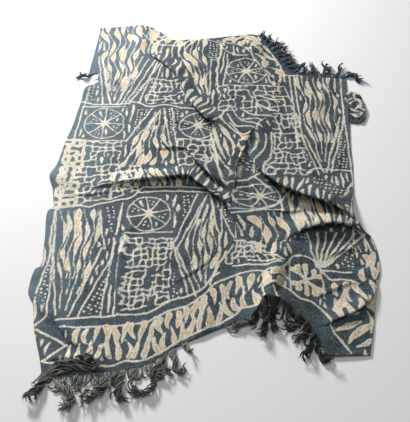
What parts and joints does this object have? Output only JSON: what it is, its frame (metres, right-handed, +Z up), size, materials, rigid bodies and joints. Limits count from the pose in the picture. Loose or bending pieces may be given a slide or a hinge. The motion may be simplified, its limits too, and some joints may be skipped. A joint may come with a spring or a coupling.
{
  "type": "ndop cloth",
  "caption": "Indigo resist-dyed ceremonial cotton cloth of sewn narrow strips, lying in loose folds with a raised hem, a tucked end and corded fringes.",
  "frame": {"origin": "middle of the cloth's footprint, on the surface that it lies on", "axes": "+Y from the near hem to the far end, along the woven strips; +X across the strips to the right; +Z up"},
  "size_m": [1.3518, 2.0404, 0.0568],
  "materials": {
    "dyed_cotton": "matt hand-woven cotton with a cream resist pattern",
    "cotton_cord": "matt twisted cotton"
  },
  "bodies": {
    "root": {"cloth": "dyed_cotton", "fringe_near_left": "cotton_cord", "fringe_near_middle": "cotton_cord", "fringe_near_right": "cotton_cord", "fringe_far_right": "cotton_cord", "fringe_far_left": "cotton_cord"}
  },
  "joints": []
}
